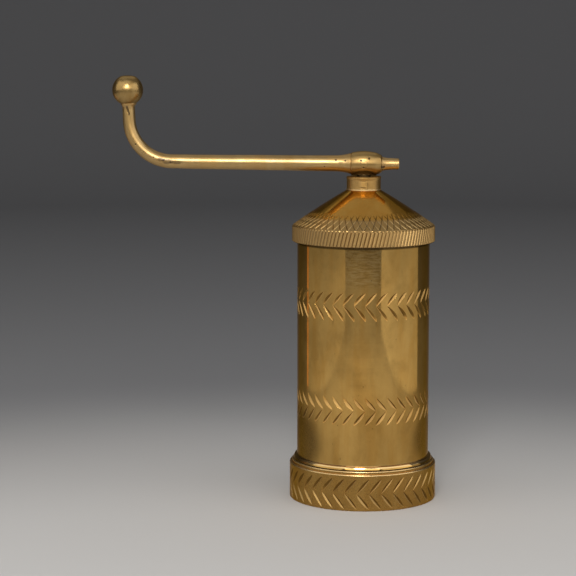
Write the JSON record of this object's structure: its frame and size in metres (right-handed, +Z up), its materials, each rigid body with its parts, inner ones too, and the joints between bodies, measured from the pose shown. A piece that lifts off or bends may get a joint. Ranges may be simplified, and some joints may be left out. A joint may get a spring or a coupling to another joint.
{
  "type": "sevai maker",
  "caption": "Hand-cranked brass screw press: a piston pushes dough down the barrel and through a perforated die held in the base ring.",
  "frame": {"origin": "centre of the base ring's outlet, in the plane of its flat underside", "axes": "+Z up along the barrel and the screw, the crank arm lies along -X at rest"},
  "size_m": [0.1592, 0.0722, 0.2081],
  "materials": {
    "polished_brass": "polished and lightly tarnished, engraved",
    "cast_brass": "hand-filed casting, smooth with small pits",
    "turned_brass": "as turned, satin",
    "pin_brass": "peened and filed flush"
  },
  "bodies": {
    "base": {"base_ring": "polished_brass"},
    "die": {"die": "turned_brass"},
    "barrel": {"barrel": "polished_brass"},
    "cap": {"cap": "polished_brass", "spindle_nut": "turned_brass"},
    "piston": {"piston": "turned_brass"},
    "crank": {"spindle": "cast_brass", "crank_arm": "cast_brass", "arm_pin": "pin_brass", "knob": "cast_brass", "piston_washer": "turned_brass", "piston_nut": "turned_brass"}
  },
  "joints": [
    {"name": "die_lift", "type": "slide", "parent": "base", "child": "die", "axis": [0, 0, 1], "range_m": [0, 0.0225]},
    {"name": "barrel_lift", "type": "slide", "parent": "base", "child": "barrel", "axis": [0, 0, 1], "range_m": [0, 0.045]},
    {"name": "cap_lift", "type": "slide", "parent": "barrel", "child": "cap", "axis": [0, 0, 1], "range_m": [0, 0.135]},
    {"name": "piston_travel", "type": "slide", "parent": "cap", "child": "piston", "axis": [0, 0, 1], "range_m": [0, 0.11375]},
    {"name": "crank_turn", "type": "hinge", "parent": "piston", "child": "crank", "pos_m": [0, 0, 0.16515], "axis": [0, 0, 1], "range_deg": [0, 8190]}
  ],
  "couplings": [
    {"joint": "piston_travel", "follows": "crank_turn", "m_per_rad": 0.00079577},
    {"joint": "die_lift", "follows": "barrel_lift", "ratio": 0.5}
  ]
}
